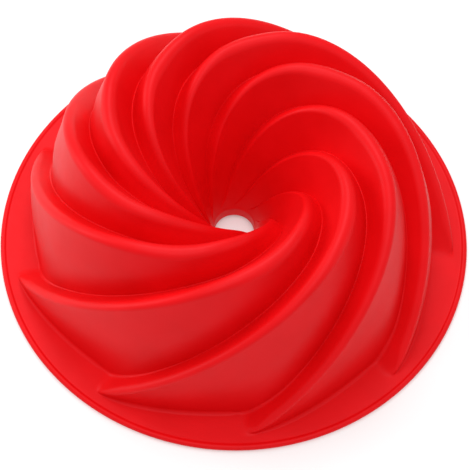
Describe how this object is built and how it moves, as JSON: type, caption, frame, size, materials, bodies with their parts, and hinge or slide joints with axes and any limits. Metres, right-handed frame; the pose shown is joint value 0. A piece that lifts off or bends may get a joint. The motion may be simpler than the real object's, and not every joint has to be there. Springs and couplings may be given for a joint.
{
  "type": "bundt pan",
  "caption": "Swirl-fluted ring cake pan in flexible red silicone, with a flat beaded flange and an open centre tube.",
  "frame": {"origin": "middle of the pan on the plane that the rim's underside rests on, with the dome up", "axes": "+Z along the pan's axis, from the rim to the crown; +X and +Y are any two directions across it, and the first flute's tip is 35 degrees from +X towards +Y"},
  "size_m": [0.25, 0.25, 0.086],
  "materials": {
    "silicone": "satin, food-grade silicone rubber"
  },
  "bodies": {
    "root": {"edge_bead": "silicone", "rim_flange": "silicone", "flute_1": "silicone", "flute_2": "silicone", "flute_3": "silicone", "flute_4": "silicone", "flute_5": "silicone", "flute_6": "silicone", "flute_7": "silicone", "flute_8": "silicone", "flute_9": "silicone", "tube_collar": "silicone"}
  },
  "joints": []
}
